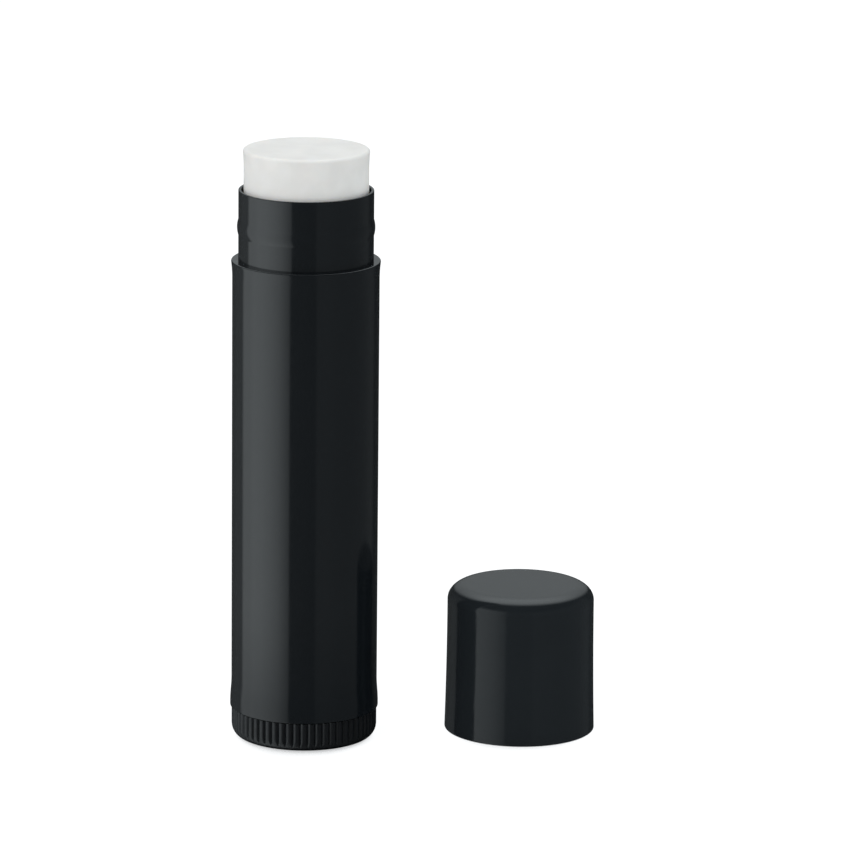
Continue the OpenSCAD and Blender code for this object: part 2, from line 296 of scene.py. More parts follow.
# %% [markdown]
# Matt surfaces need real lamps as well, so that the balm is brighter on its upper left than on its
# right. Each lamp is large, for soft shadows, and is hidden from glossy rays, because the studio
# above already draws every highlight. A lamp's power in watts grows with the square of its
# distance. Each row below is a place in metres, a width, a power and a colour.

# %% Lamps
LAMPS = {
    "key_lamp": ((-0.55, -0.45, 0.60), 0.5, 2.9, (1.0, 1.0, 0.99)),
    "top_lamp": ((0.0, 0.05, 0.90), 0.8, 2.0, (1.0, 1.0, 1.0)),
    "fill_lamp": ((0.85, -0.15, 0.30), 0.6, 1.8, (0.94, 1.0, 1.0)),
}


def make_lamp(name, place, width, power, colour):
    """A square lamp that looks at the middle of the stick."""
    data = bpy.data.lights.new(name, "AREA")
    data.size = width
    data.energy = power
    data.color = colour
    lamp = bpy.data.objects.new(name, data)
    lamp.location = place
    lamp.rotation_mode = "QUATERNION"
    lamp.rotation_quaternion = (CAMERA_AIM - Vector(place)).to_track_quat("-Z", "Y")
    lamp.visible_glossy = False
    lamp.visible_camera = False
    bpy.context.scene.collection.objects.link(lamp)
    return lamp


for lamp_name, lamp_facts in LAMPS.items():
    make_lamp(lamp_name, *lamp_facts)
print("lamps:", sorted(LAMPS))

# %% [markdown]
# The floor is a large plane. The photograph's floor is pure white right up to a thin shadow at
# the foot of each piece. White paint alone would come out a little grey, and more light would wash
# the object out. So for the camera the floor is mostly a glow, and its paint is dulled, or the
# lamps' wide soft shadows would show. An Ambient Occlusion node with a short reach draws the shadow
# of the last millimetres. It looks up and back, so that the shadow falls towards the camera.
#
# Glossy rays see it as a clear table over a dark studio, so for them it is a plain mirror. A white
# floor would turn every black wall grey, and the photograph's walls are black. The mirror also lets
# the tube's image in the cap run down to the table, as it does on a real one.

# %% Floor
FLOOR_HALF = 3.0
FLOOR_DROP = 0.00002
FLOOR_PAINT = (0.93, 0.94, 0.95)
FLOOR_GLOW = 1.0
FLOOR_DULL = 0.8
CONTACT_REACH = 6.0 * MM
CONTACT_SHARE = 0.46
CONTACT_OPEN = (0.2, 0.45)
CONTACT_LOOK = (0.0, 0.82, 0.57)
DARK = (0, 0, 0)


def floor_material():
    """White paint that glows a little for the camera, and a clear table for glossy rays."""
    material = bpy.data.materials.new("floor_white")
    material.use_nodes = True
    tree = material.node_tree
    tree.nodes.clear()
    near = add(tree, "ShaderNodeAmbientOcclusion", samples=8)
    feed(tree, near.inputs["Distance"], CONTACT_REACH)
    feed(tree, near.inputs["Normal"], vector(tree, *CONTACT_LOOK))
    is_open = smooth_step(tree, near.outputs["AO"], *CONTACT_OPEN, 1 - CONTACT_SHARE, 1.0)
    tone = tint(tree, is_open, DARK, FLOOR_PAINT)
    path = add(tree, "ShaderNodeLightPath").outputs
    seen = calc(tree, "MAXIMUM", path["Is Camera Ray"], path["Is Transmission Ray"])
    dulled = tint(tree, calc(tree, "MULTIPLY", seen, FLOOR_DULL), tone, DARK)
    paint = fed(tree, "ShaderNodeBsdfDiffuse", [dulled])
    strength = calc(tree, "MULTIPLY", seen, FLOOR_GLOW)
    glow = fed(tree, "ShaderNodeEmission", (tone, strength))
    white = fed(tree, "ShaderNodeAddShader", (paint.outputs[0], glow.outputs[0]))
    table = add(tree, "ShaderNodeBsdfGlossy")
    feed(tree, table.inputs["Roughness"], 0.0)
    shaders = (white.outputs[0], table.outputs[0])
    both = fed(tree, "ShaderNodeMixShader", (path["Is Glossy Ray"], *shaders))
    fed(tree, "ShaderNodeOutputMaterial", both.outputs)
    return material


def make_floor():
    """A square plane just under the foot of the stick."""
    mesh = bpy.data.meshes.new("floor")
    corner = [(x * FLOOR_HALF, y * FLOOR_HALF, -FLOOR_DROP)
              for x, y in ((-1, -1), (1, -1), (1, 1), (-1, 1))]
    mesh.from_pydata(corner, [], [(0, 1, 2, 3)])
    mesh.materials.append(floor_material())
    floor = bpy.data.objects.new("floor", mesh)
    bpy.context.scene.collection.objects.link(floor)
    return floor


make_floor()
print("floor:", 2 * FLOOR_HALF, "m square")

# %% [markdown]
# Five finishes cover the object. All are one plastic or wax shader with small, real irregularities.
#
# A gloss moulding is never a perfect mirror: its polish varies a little, and the surface has a very
# faint waviness. Noise on Object coordinates gives both. The object's own coordinates are in
# metres, so a noise scale of 1000 makes patches of about one millimetre.
#
# The tube mirrors less at its lower end, a painted shade for the darker reflections near the floor,
# so gloss is a ramp over the height.
# The cap has a black of its own: it is a little greyer than the tube and mirrors less, and its black
# is also lifted a little as painted light, in place of reflected light that its low gloss misses.

# %% Finishes: helpers for noise and bumps
GRID_TURN = (0.5, 0.3, 0.2)
NOISE_MIDDLE = (0.3, 0.7)


def noise(tree, scale, detail=2.0):
    """Noise on the object's own coordinates, turned a little so that no grid line shows."""
    mapping = add(tree, "ShaderNodeMapping")
    feed(tree, mapping.inputs["Rotation"], GRID_TURN)
    feed(tree, mapping.inputs["Vector"], add(tree, "ShaderNodeTexCoord").outputs["Object"])
    node = add(tree, "ShaderNodeTexNoise")
    feed(tree, node.inputs["Vector"], mapping.outputs["Vector"])
    feed(tree, node.inputs["Scale"], scale)
    feed(tree, node.inputs["Detail"], detail)
    return node.outputs[0]


def bump(tree, scale, detail, depth, below=None):
    """A bump of noise that is depth deep, in metres, on top of another bump if one is given."""
    node = add(tree, "ShaderNodeBump")
    feed(tree, node.inputs["Distance"], depth)
    feed(tree, node.inputs["Height"], noise(tree, scale, detail))
    if below is not None:
        feed(tree, node.inputs["Normal"], below)
    return node.outputs["Normal"]


def new_finish(name):
    """A material with one Principled shader. Gives the material, its tree and its sockets."""
    material = bpy.data.materials.new(name)
    material.use_nodes = True
    tree = material.node_tree
    return material, tree, tree.nodes["Principled BSDF"].inputs


print("helpers: noise, bump, new_finish")

# %% The black plastics
SHADE_SCALE = 260.0
SHADE_SPREAD = 0.07
POLISH = (900.0, 4.0)
GRAIN = (9000.0, 3.0)
PLASTIC_IOR = 1.5
# Height span over which the reflection is dimmed towards the bottom: painted shade near the floor.
LOW_SHADE_SPAN = (0.0, 17 * MM)
GLOSS_WAVES = (420.0, 2.0, 1.5e-6)
SATIN_WAVES = (700.0, 2.0, 1.0e-6)
BLACK = (0.0046, 0.0062, 0.0078)
# Partly the cap's own greyer black, partly painted light: lifted a little in place of reflected
# light.
BLACK_CAP = (0.0125, 0.0155, 0.0180)
BLACK_RIBBED = (0.0022, 0.0034, 0.0050)
BLACK_INSIDE = (0.012, 0.014, 0.016)


def black_plastic(name, colour, rough, waves, grain_depth, gloss):
    """Moulded black plastic: uneven polish, a faint waviness, and its gloss low down and above; the
    weaker gloss low down is painted shade.
    """
    material, tree, sockets = new_finish(name)
    dark = [(1 - SHADE_SPREAD) * part for part in colour]
    light = [(1 + SHADE_SPREAD) * part for part in colour]
    feed(tree, sockets["Base Color"], tint(tree, noise(tree, SHADE_SCALE), dark, light))
    polish = smooth_step(tree, noise(tree, *POLISH), *NOISE_MIDDLE, *rough)
    feed(tree, sockets["Roughness"], polish)
    feed(tree, sockets["Normal"], bump(tree, *GRAIN, grain_depth, bump(tree, *waves)))
    feed(tree, sockets["IOR"], PLASTIC_IOR)
    height = parts(tree, add(tree, "ShaderNodeTexCoord").outputs["Object"])[2]
    # Painted shade: the reflection is weaker towards the bottom of the piece.
    feed(tree, sockets["Specular IOR Level"], smooth_step(tree, height, *LOW_SHADE_SPAN, *gloss))
    return material


black_gloss = black_plastic("black_gloss", BLACK, (0.09, 0.14), GLOSS_WAVES, 2.0e-8, (0.3, 0.5))
black_cap = black_plastic("black_cap", BLACK_CAP, (0.10, 0.15), GLOSS_WAVES, 2.0e-8, (0.2, 0.2))
black_ribbed = black_plastic("black_moulded", BLACK_RIBBED, (0.38, 0.46), SATIN_WAVES, 2.0e-7,
                             (0.36, 0.5))
black_inside = black_plastic("black_inner", BLACK_INSIDE, (0.38, 0.5), SATIN_WAVES, 6.0e-7,
                             (0.5, 0.5))
print("finishes:", black_gloss.name, black_cap.name, black_ribbed.name, black_inside.name)

# %% [markdown]
# The balm is wax. Light goes a little way in and comes out again, so it gets subsurface scattering
# of about a millimetre. Poured wax also sets unevenly: its white varies softly, and the surface has
# shallow pits. A low-contrast tint and two bumps of different size do that.

# %% Finish of the balm
WAX_DARK = (0.79, 0.79, 0.775)
WAX_LIGHT = (0.83, 0.83, 0.815)
WAX_ROUGH = (0.42, 0.52)
WAX_MOTTLE = (420.0, 3.0)
WAX_FLOW = (500.0, 2.0, 4.0e-6)
WAX_PITS = (3500.0, 3.0, 2.0e-6)


def wax():
    """White wax, a little translucent, with a soft mottle and shallow pits."""
    material, tree, sockets = new_finish("white_balm")
    mottle = smooth_step(tree, noise(tree, *WAX_MOTTLE), *NOISE_MIDDLE)
    feed(tree, sockets["Base Color"], tint(tree, mottle, WAX_DARK, WAX_LIGHT))
    feed(tree, sockets["Roughness"], smooth_step(tree, mottle, 0.0, 1.0, *WAX_ROUGH))
    feed(tree, sockets["Subsurface Weight"], 0.35)
    feed(tree, sockets["Subsurface Radius"], (1.0, 0.85, 0.7))
    feed(tree, sockets["Subsurface Scale"], 0.9 * MM)
    feed(tree, sockets["IOR"], 1.44)
    feed(tree, sockets["Normal"], bump(tree, *WAX_PITS, bump(tree, *WAX_FLOW)))
    return material


white_balm = wax()
print("finish:", white_balm.name)

# %% [markdown]
# An outline is a chain of points, each a radius and a height. Corners of a moulding are rounded, so
# one helper gives the points of an arc. Another adds a point close to both ends of every long
# straight run. Smooth shading blends the direction of neighbouring faces, and without those extra
# points a rounded edge would bend the mirror image over the whole flat wall beside it.

# %% Outlines: arcs, fades and held ends
ARC_STEPS = 10
BEAD_STEPS = 14
LIP_STEPS = 6
SMALL_STEPS = 4
HOLD = 0.04
HOLD_OVER = 0.5


def arc(centre, width, height, start, end, steps=ARC_STEPS):
    """Points of an ellipse's arc about a centre, from one angle to another, in degrees."""
    angles = [math.radians(start + (end - start) * i / steps) for i in range(steps + 1)]
    return [(centre[0] + width * math.cos(a), centre[1] + height * math.sin(a)) for a in angles]


def bead(radius, middle, height, rise, steps=BEAD_STEPS):
    """Points of a low rounded bead that stands out of a wall, from its lower to its upper end."""
    big = (height * height / 4 + rise * rise) / (2 * rise)
    half = math.degrees(math.asin(height / 2 / big))
    return arc((radius + rise - big, middle), big, big, -half, half, steps)


def held(points):
    """The same outline with a point near both ends of every long straight run."""
    out = [points[0]]
    for (r0, z0), (r1, z1) in zip(points, points[1:]):
        length = math.hypot(r1 - r0, z1 - z0)
        if length > HOLD_OVER:
            for share in (HOLD / length, 1 - HOLD / length):
                out.append((r0 + (r1 - r0) * share, z0 + (z1 - z0) * share))
        out.append((r1, z1))
    return out


def closed(points):
    """The same outline with its first point repeated at its end, for a ring-shaped piece."""
    return points + points[:1]


print("an arc has", len(arc((0, 0), 1, 1, 0, 90)), "points")

# %% [markdown]
# This is the tree that turns outlines. A lathe and a thread are the same idea: copies of an outline
# stand round an axis, and neighbours are joined. A lathe stays level and a thread climbs as it
# turns. Screw or Spin could do either, but a tree of nodes does both, and can also let a thread
# grow out of its core at both ends, as a moulded one does.
#
# It makes a grid with one row per outline point and one column per step round the axis, looks up
# the outline point of each row, and places it at its angle. Then it merges doubles, which closes the
# seam and the poles. At the ends of a thread the section shrinks to one point, so it closes too.

# %% A tree that turns an outline
MERGE = 1.0e-7
NO_FADE = 0.001
WIDENS = 4.0


def new_tree(name, sockets):
    """A geometry tree with the sockets named, one input node and one output node."""
    tree = bpy.data.node_groups.new(name, "GeometryNodeTree")
    for label, kind in sockets:
        tree.interface.new_socket(name=label, in_out="INPUT", socket_type="NodeSocket" + kind)
    tree.interface.new_socket(name="Form", in_out="OUTPUT", socket_type="NodeSocketGeometry")
    return tree, add(tree, "NodeGroupInput").outputs, add(tree, "NodeGroupOutput").inputs["Form"]


def finish_tree(tree, form, finish, output):
    """Ends a tree in Realize Instances and Set Material."""
    real = add(tree, "GeometryNodeRealizeInstances")
    feed(tree, real.inputs[0], form)
    painted = add(tree, "GeometryNodeSetMaterial")
    feed(tree, painted.inputs["Geometry"], real.outputs[0])
    feed(tree, painted.inputs["Material"], finish)
    feed(tree, output, painted.outputs[0])


def sampled_outline(tree, outline, row):
    """Radius and height of the outline's point in each row."""
    sample = add(tree, "GeometryNodeSampleIndex", data_type="FLOAT_VECTOR", domain="POINT")
    feed(tree, sample.inputs["Geometry"], outline)
    feed(tree, sample.inputs["Value"], add(tree, "GeometryNodeInputPosition").outputs[0])
    feed(tree, sample.inputs["Index"], row)
    radius, _, height = parts(tree, sample.outputs[0])
    return radius, height


def turning_tree():
    """Turns an outline about Z. With a lead it climbs, with a fade it grows out of its core."""
    tree, given, output = new_tree("turned_form", [
        ("Outline", "Geometry"), ("Columns", "Int"), ("Turns", "Float"), ("Start", "Float"),
        ("Base", "Float"), ("Lead", "Float"), ("Fade", "Float"), ("Core", "Float"),
        ("Finish", "Material")])
    count = add(tree, "GeometryNodeAttributeDomainSize", component="MESH")
    feed(tree, count.inputs[0], given["Outline"])
    rows = count.outputs["Point Count"]
    grid = add(tree, "GeometryNodeMeshGrid")
    feed(tree, grid.inputs["Vertices X"], whole(tree, "ADD", given["Columns"], 1))
    feed(tree, grid.inputs["Vertices Y"], rows)
    index = add(tree, "GeometryNodeInputIndex").outputs[0]
    radius, height = sampled_outline(tree, given["Outline"], whole(tree, "MODULO", index, rows))
    column = whole(tree, "DIVIDE_FLOOR", index, rows)
    turn = calc(tree, "MULTIPLY", calc(tree, "DIVIDE", column, given["Columns"]), given["Turns"])
    to_end = calc(tree, "MINIMUM", turn, calc(tree, "SUBTRACT", given["Turns"], turn))
    grown = smooth_step(tree, to_end, 0.0, given["Fade"])
    grown = calc(tree, "MAXIMUM", grown, calc(tree, "LESS_THAN", given["Fade"], NO_FADE))
    wide = calc(tree, "MINIMUM", calc(tree, "MULTIPLY", grown, WIDENS), 1.0)
    radius = calc(tree, "MULTIPLY", calc(tree, "SUBTRACT", radius, given["Core"]), grown)
    radius = calc(tree, "ADD", radius, given["Core"])
    angle = calc(tree, "MULTIPLY_ADD", turn, math.tau, given["Start"])
    climb = calc(tree, "MULTIPLY_ADD", turn, given["Lead"], given["Base"])
    place = vector(tree, calc(tree, "MULTIPLY", radius, calc(tree, "COSINE", angle)),
                   calc(tree, "MULTIPLY", radius, calc(tree, "SINE", angle)),
                   calc(tree, "MULTIPLY_ADD", height, wide, climb))
    moved = add(tree, "GeometryNodeSetPosition")
    feed(tree, moved.inputs["Geometry"], grid.outputs["Mesh"])
    feed(tree, moved.inputs["Position"], place)
    merged = add(tree, "GeometryNodeMergeByDistance")
    feed(tree, merged.inputs["Geometry"], moved.outputs[0])
    feed(tree, merged.inputs["Distance"], MERGE)
    finish_tree(tree, merged.outputs[0], given["Finish"], output)
    return tree


turned_form = turning_tree()
print("tree", turned_form.name, "has", len(turned_form.nodes), "nodes")

# %% [markdown]
# A modifier carries the tree. Its inputs are set by each socket's identifier, before Blender first
# works the object out. Then the result is copied to a plain mesh, and the modifier goes. Cleaning up
# is part of the job: edges that lost their faces are deleted, and the faces are made to point
# outwards once everything is merged.

# %% From a tree to a plain mesh


def set_inputs(modifier, values):
    """Sets a modifier's inputs by name, through each socket's identifier."""
    for item in modifier.node_group.interface.items_tree:
        if item.item_type == "SOCKET" and item.in_out == "INPUT" and item.name in values:
            modifier[item.identifier] = values[item.name]


def clean(mesh):
    """Deletes loose edges and points, and turns all faces outwards."""
    work = bmesh.new()
    work.from_mesh(mesh)
    loose = [edge for edge in work.edges if not edge.link_faces]
    bmesh.ops.delete(work, geom=loose, context="EDGES")
    bmesh.ops.delete(work, geom=[v for v in work.verts if not v.link_faces], context="VERTS")
    bmesh.ops.recalc_face_normals(work, faces=work.faces)
    if work.calc_volume(signed=True) < 0:
        bmesh.ops.reverse_faces(work, faces=work.faces)
    work.to_mesh(mesh)
    work.free()


def plain(obj, name):
    """A new object with the evaluated mesh of another one, which is deleted with its modifiers."""
    graph = bpy.context.evaluated_depsgraph_get()
    mesh = bpy.data.meshes.new_from_object(obj.evaluated_get(graph), depsgraph=graph)
    bpy.data.objects.remove(obj)
    mesh.name = name
    clean(mesh)
    result = bpy.data.objects.new(name, mesh)
    bpy.context.scene.collection.objects.link(result)
    return result


def through_tree(obj, tree, values, name):
    """Runs an object through a tree and gives the plain result."""
    modifier = obj.modifiers.new(tree.name, "NODES")
    modifier.node_group = tree
    set_inputs(modifier, values)
    return plain(obj, name)


def outline_object(points):
    """A wire object in metres from an outline in millimetres."""
    mesh = bpy.data.meshes.new("outline")
    pairs = [(i, i + 1) for i in range(len(points) - 1)]
    mesh.from_pydata([(r * MM, 0, z * MM) for r, z in points], pairs, [])
    wire = bpy.data.objects.new("outline", mesh)
    bpy.context.scene.collection.objects.link(wire)
    return wire


def turned(name, points, columns, finish):
    """A closed turned form from an outline."""
    return through_tree(outline_object(held(points)), turned_form, {
        "Columns": columns, "Turns": 1.0, "Start": 0.0, "Base": 0.0, "Lead": 0.0, "Fade": 0.0,
        "Core": 0.0, "Finish": finish}, name)


def combined(base, tool, operation):
    """Joins a form to another, or cuts it out of another, and deletes the tool."""
    name = base.name
    modifier = base.modifiers.new(operation, "BOOLEAN")
    modifier.operation = operation
    modifier.object = tool
    modifier.solver = "EXACT"
    result = plain(base, name)
    bpy.data.objects.remove(tool)
    return result


print("helpers: turned, combined, through_tree")

# %% [markdown]
# The second tree sets bars round the axis. Four of them are the key ribs in the barrel, and the same
# tree gives the notches that run on those ribs, and the webs of the elevator. A bar is a cube that
# is sized, moved out to its radius and repeated by instances, which are realized at the end. The
# object that carries the modifier gives nothing to the shape.

# %% A tree that sets bars round the axis


def bars_tree():
    """Bars that point outwards, evenly spaced round Z."""
    tree, given, output = new_tree("bars_round_axis", [
        ("Carrier", "Geometry"), ("Count", "Int"), ("From", "Float"), ("To", "Float"),
        ("Width", "Float"), ("Low", "Float"), ("High", "Float"), ("First", "Float"),
        ("Finish", "Material")])
    size = vector(tree, calc(tree, "SUBTRACT", given["To"], given["From"]), given["Width"],
                  calc(tree, "SUBTRACT", given["High"], given["Low"]))
    cube = fed(tree, "GeometryNodeMeshCube", [size])
    out = calc(tree, "MULTIPLY", calc(tree, "ADD", given["To"], given["From"]), 0.5)
    up = calc(tree, "MULTIPLY", calc(tree, "ADD", given["High"], given["Low"]), 0.5)
    bar = add(tree, "GeometryNodeTransform")
    feed(tree, bar.inputs["Geometry"], cube.outputs["Mesh"])
    feed(tree, bar.inputs["Translation"], vector(tree, out, 0.0, up))
    points = add(tree, "GeometryNodePoints")
    feed(tree, points.inputs["Count"], given["Count"])
    step = calc(tree, "DIVIDE", add(tree, "GeometryNodeInputIndex").outputs[0], given["Count"])
    spin = calc(tree, "MULTIPLY_ADD", step, math.tau, given["First"])
    copies = add(tree, "GeometryNodeInstanceOnPoints")
    feed(tree, copies.inputs["Points"], points.outputs[0])
    feed(tree, copies.inputs["Instance"], bar.outputs[0])
    feed(tree, copies.inputs["Rotation"], vector(tree, z=spin))
    finish_tree(tree, copies.outputs[0], given["Finish"], output)
    return tree


bars_form = bars_tree()
CARRIER = [(0, 0), (1, 0)]


def bars(count, span, width, low, high, finish, first=0.0):
    """Bars round the axis, from an inner to an outer radius, in millimetres."""
    return through_tree(outline_object(CARRIER), bars_form, {
        "Count": count, "From": span[0] * MM, "To": span[1] * MM, "Width": width * MM,
        "Low": low * MM, "High": high * MM, "First": first, "Finish": finish}, "bars")


print("tree", bars_form.name, "has", len(bars_form.nodes), "nodes")

# %% [markdown]
# A finished piece gets smooth shading with sharp creases and its one finish, rides on its body and
# stands in for its CAD node. The count of open edges is printed: a closed mesh has none.

# %% Handing a piece over
CREASE = math.radians(32)


def hand_over(obj, finish, body, node):
    """Shades a piece, gives it its one finish, ties it to its body and hides its CAD node."""
    mesh = obj.data
    mesh.materials.clear()
    mesh.materials.append(finish)
    mesh.polygons.foreach_set("material_index", [0] * len(mesh.polygons))
    mesh.shade_smooth()
    mesh.set_sharp_from_angle(angle=CREASE)
    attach(obj, body)
    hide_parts(node)
    uses = {}
    for polygon in mesh.polygons:
        for key in polygon.edge_keys:
            uses[key] = uses.get(key, 0) + 1
    odd = sum(1 for number in uses.values() if number != 2)
    triangles = sum(len(polygon.vertices) - 2 for polygon in mesh.polygons)
    print(f"{obj.name}: {triangles} triangles, {odd} open or doubled edges")
    return obj


# %% [markdown]
# The barrel is one moulding. Outside, from below: a lower rim that stands out a little and fades into
# the straight label panel, a shoulder that flares out again, then the recessed neck with the low
# bead that the cap snaps over. Inside: a plain bore, a groove for the wheel's snap bead, and four key
# ribs. Both fades are curves by formula, so that the mirrored strip bends gently over them.

# %% The barrel
FOOT_BAND = 0.35
RIM_EDGE = 0.06
FOOT_FADE = 2.8
SHOULDER_R = 7.98
SHOULDER_UP = 49.15
SHOULDER_FADE = 1.8
EDGE_R = 0.16
BEAD_UP = 3.55
BEAD_HIGH = 1.7
BEAD_RISE = 0.14
BORE_R = 6.8
MOUTH_R = 6.88
MOUTH_DEEP = 0.7
LIP_R = 0.11
LEAD_IN = 0.25
SNAP_UP = 3.4
SNAP_HIGH = 1.5
SNAP_DEEP = 0.3
SNAP_SLOPE = 0.24
FADE_STEPS = 16
BARREL_COLUMNS = 256
low_z = barrel_low.z
rim_z = barrel_high.z
shoulder_z = low_z + SHOULDER_UP
snap_z = low_z + SNAP_UP


def faded(start, end, low, high, curve):
    """Points of a wall whose radius goes from start to end by a curve, between two heights."""
    shares = [i / FADE_STEPS for i in range(FADE_STEPS + 1)]
    return [(start + (end - start) * curve(s), low + (high - low) * s) for s in shares]


def wave(share):
    """A soft S from 0 to 1."""
    return (1 - math.cos(math.pi * share)) / 2


def square(share):
    """A curve that leaves level and steepens, from 0 to 1."""
    return share * share


def easing(share):
    """A curve that leaves steeply and ends level, from 0 to 1."""
    return 1 - (1 - share) ** 2


def barrel_outline():
    """Outline of the barrel, up its outside and down its inside."""
    outside = arc((FOOT_R - RIM_EDGE, low_z + RIM_EDGE), RIM_EDGE, RIM_EDGE, -90, 0)
    band_z = low_z + FOOT_BAND
    outside += faded(FOOT_R, PANEL_R, band_z, band_z + FOOT_FADE, wave)
    flare_z = shoulder_z - EDGE_R
    outside += faded(PANEL_R, SHOULDER_R, flare_z - SHOULDER_FADE, flare_z, square)[:-1]
    outside += arc((SHOULDER_R - EDGE_R, flare_z), EDGE_R, EDGE_R, 0, 90)
    outside.append((NECK_R, shoulder_z))
    outside += bead(NECK_R, shoulder_z + BEAD_UP, BEAD_HIGH, BEAD_RISE)
    outside += arc((NECK_R - LIP_R, rim_z - LIP_R), LIP_R, LIP_R, 0, 90, LIP_STEPS)
    inside = arc((MOUTH_R + LIP_R, rim_z - LIP_R), LIP_R, LIP_R, 90, 180, LIP_STEPS)
    inside.append((BORE_R, rim_z - MOUTH_DEEP))
    half = SNAP_HIGH / 2
    inside += [(BORE_R, snap_z + half), (BORE_R + SNAP_DEEP, snap_z + half - SNAP_SLOPE),
               (BORE_R + SNAP_DEEP, snap_z - half + SNAP_SLOPE), (BORE_R, snap_z - half),
               (BORE_R, low_z + LEAD_IN), (BORE_R + LEAD_IN, low_z)]
    return closed(outside + inside)


KEYS = 4
KEY_WIDE = 0.8
KEY_RISE = 0.35
KEY_LOW = 8.8
KEY_DROP = 2.35
BITE = 0.3
barrel = turned("barrel_shell", barrel_outline(), BARREL_COLUMNS, black_gloss)
key_ribs = bars(KEYS, (BORE_R - KEY_RISE, BORE_R + BITE), KEY_WIDE, KEY_LOW,
                shoulder_z - KEY_DROP, black_gloss)
barrel = combined(barrel, key_ribs, "UNION")
hand_over(barrel, black_gloss, "tube", "barrel")

# %% [markdown]
# The twist wheel, its collar and the spindle are one moulding too, so they share one outline. The
# wheel stands on a narrow ring round an open recess, its foot is rounded, and sixty ribs run down
# its side until the rounding takes them away.
#
# The ribs could be sixty bars, but on the real wheel they are soft waves. So a third tree pushes the
# points of the plain wheel inwards by a formula: it finds how far a point is from the nearest groove,
# and never lets its radius exceed the ribbed outline there. Ten columns of points for each rib are
# enough for a round crest and a round groove.

# %% A tree that flutes a wheel


def from_axis(tree, x, y):
    """Distance of a point from the axis."""
    return calc(tree, "SQRT", calc(tree, "ADD", calc(tree, "MULTIPLY", x, x),
                                   calc(tree, "MULTIPLY", y, y)))


def fluting_tree():
    """Pulls the side of a turned form in to a wavy outline with a number of ribs."""
    tree, given, output = new_tree("fluted_side", [
        ("Form", "Geometry"), ("Ribs", "Float"), ("Crest", "Float"), ("Dome", "Float"),
        ("Groove", "Float"), ("Groove start", "Float"), ("Groove end", "Float"),
        ("Finish", "Material")])
    x, y, z = parts(tree, add(tree, "GeometryNodeInputPosition").outputs[0])
    angle = calc(tree, "ARCTAN2", y, x)
    turn = calc(tree, "MULTIPLY", calc(tree, "DIVIDE", angle, math.tau), given["Ribs"])
    aside = calc(tree, "MULTIPLY", calc(tree, "PINGPONG", turn, 0.5), 2.0)
    dome = calc(tree, "MULTIPLY", calc(tree, "MULTIPLY", aside, aside), given["Dome"])
    dip = smooth_step(tree, aside, given["Groove start"], given["Groove end"])
    dip = calc(tree, "MULTIPLY", dip, given["Groove"])
    limit = calc(tree, "SUBTRACT", given["Crest"], calc(tree, "MAXIMUM", dome, dip))
    flat = from_axis(tree, x, y)
    shrink = calc(tree, "DIVIDE", calc(tree, "MINIMUM", flat, limit),
                  calc(tree, "MAXIMUM", flat, MERGE))
    moved = add(tree, "GeometryNodeSetPosition")
    feed(tree, moved.inputs["Geometry"], given["Form"])
    feed(tree, moved.inputs["Position"], vector(tree, calc(tree, "MULTIPLY", x, shrink),
                                                calc(tree, "MULTIPLY", y, shrink), z))
    finish_tree(tree, moved.outputs[0], given["Finish"], output)
    return tree


fluted_side = fluting_tree()
print("tree", fluted_side.name, "has", len(fluted_side.nodes), "nodes")

# %% The wheel with its collar and the core of its spindle
WHEEL_R = 7.84
WHEEL_HIGH = 3.2
WHEEL_EDGE = 0.05
ROUND_WIDE = 1.04
ROUND_HIGH = 1.3
FOOT_RING = 1.1
RECESS_DEEP = 1.7
BOSS_R = 2.6
SMALL_EDGE = 0.1
COLLAR_R = 6.72
COLLAR_WALL = 0.9
COLLAR_TOP = 8.7
COLLAR_BEAD = 0.22
COLLAR_BEAD_HIGH = 0.9
CORE_R = 1.6
ROOT_R = 2.4
ROOT_HIGH = 1.6
FOOT_STEPS = 18
SIDE_STEPS = 6
EDGE_STEPS = 5
COLLAR_STEPS = 8
RIBS = 60
COLUMNS_PER_RIB = 10
RIB_DOME = 0.15
GROOVE_DEEP = 0.2
GROOVE_FROM = 0.45
GROOVE_TO = 1.0
tip_z = wheel_high.z


def wheel_outline():
    """Outline from the middle of the underside, round the wheel and collar, to the spindle's tip."""
    ring_out = WHEEL_R - ROUND_WIDE
    ring_in = ring_out - FOOT_RING
    line = [(0, 0)]
    line += arc((BOSS_R - SMALL_EDGE, SMALL_EDGE), SMALL_EDGE, SMALL_EDGE, -90, 0, SMALL_STEPS)
    line += [(BOSS_R, RECESS_DEEP), (ring_in, RECESS_DEEP)]
    line += arc((ring_in + SMALL_EDGE, SMALL_EDGE), SMALL_EDGE, SMALL_EDGE, 180, 270,
                SMALL_STEPS)
    line += arc((ring_out, ROUND_HIGH), ROUND_WIDE, ROUND_HIGH, -90, 0, FOOT_STEPS)
    edge_z = WHEEL_HIGH - WHEEL_EDGE
    rise = (edge_z - ROUND_HIGH) / SIDE_STEPS
    line += [(WHEEL_R, ROUND_HIGH + rise * i) for i in range(1, SIDE_STEPS)]
    line += arc((WHEEL_R - WHEEL_EDGE, edge_z), WHEEL_EDGE, WHEEL_EDGE, 0, 90, EDGE_STEPS)
    line.append((COLLAR_R, WHEEL_HIGH))
    line += bead(COLLAR_R, snap_z, COLLAR_BEAD_HIGH, COLLAR_BEAD, COLLAR_STEPS)
    line += [(COLLAR_R, COLLAR_TOP - LEAD_IN), (COLLAR_R - LEAD_IN, COLLAR_TOP),
             (COLLAR_R - COLLAR_WALL, COLLAR_TOP), (COLLAR_R - COLLAR_WALL, WHEEL_HIGH)]
    line += arc((ROOT_R, WHEEL_HIGH + ROOT_HIGH), ROOT_R - CORE_R, ROOT_HIGH, 270, 180,
                COLLAR_STEPS)
    line += [(CORE_R, tip_z - LEAD_IN), (CORE_R - LEAD_IN, tip_z), (0, tip_z)]
    return line


